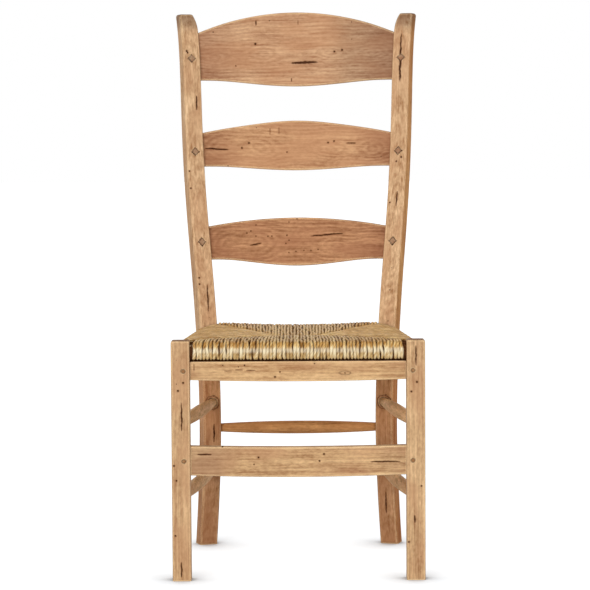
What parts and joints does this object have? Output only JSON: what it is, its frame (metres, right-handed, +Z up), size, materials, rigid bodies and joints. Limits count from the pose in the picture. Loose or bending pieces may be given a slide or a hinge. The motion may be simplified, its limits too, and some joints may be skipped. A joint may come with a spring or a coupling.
{
  "type": "ladderback dining chair",
  "caption": "Tall ladderback side chair with curved slats between raked posts, a woven rush seat over hidden rails, square front legs, a pegged apron and turned stretchers.",
  "frame": {"origin": "on the floor, in the middle of the chair's box, half way between the front legs' faces and the back of the crest slat", "axes": "+Z up, X across the seat with the chair symmetric about X = 0, the sitter faces -Y"},
  "size_m": [0.5088, 0.564, 1.1185],
  "materials": {
    "frame_wood": "waxed and worn pale honey brown wood with eased edges, small holes and checks",
    "slat_wood": "waxed pale brown wood, warmer and redder towards the posts",
    "stretcher_wood": "waxed wood, a little darker and redder than the frame",
    "hidden_wood": "plain unfinished wood",
    "peg_wood": "darker waxed end grain",
    "rush": "twisted straw-coloured rush, woven in four panels"
  },
  "bodies": {
    "root": {"front_leg_left": "frame_wood", "front_leg_right": "frame_wood", "rear_post_left": "frame_wood", "rear_post_right": "frame_wood", "apron": "frame_wood", "front_stretcher": "frame_wood", "crest_slat": "slat_wood", "middle_slat": "slat_wood", "lower_slat": "slat_wood", "left_upper_side_stretcher": "stretcher_wood", "right_upper_side_stretcher": "stretcher_wood", "left_lower_side_stretcher": "stretcher_wood", "right_lower_side_stretcher": "stretcher_wood", "rear_stretcher": "stretcher_wood", "front_seat_rail": "hidden_wood", "rear_seat_rail": "hidden_wood", "left_seat_rail": "hidden_wood", "right_seat_rail": "hidden_wood", "crest_slat_pegs": "peg_wood", "middle_slat_pegs": "peg_wood", "lower_slat_pegs": "peg_wood", "apron_pegs": "peg_wood", "front_stretcher_pegs": "peg_wood", "rush_seat": "rush"}
  },
  "joints": []
}
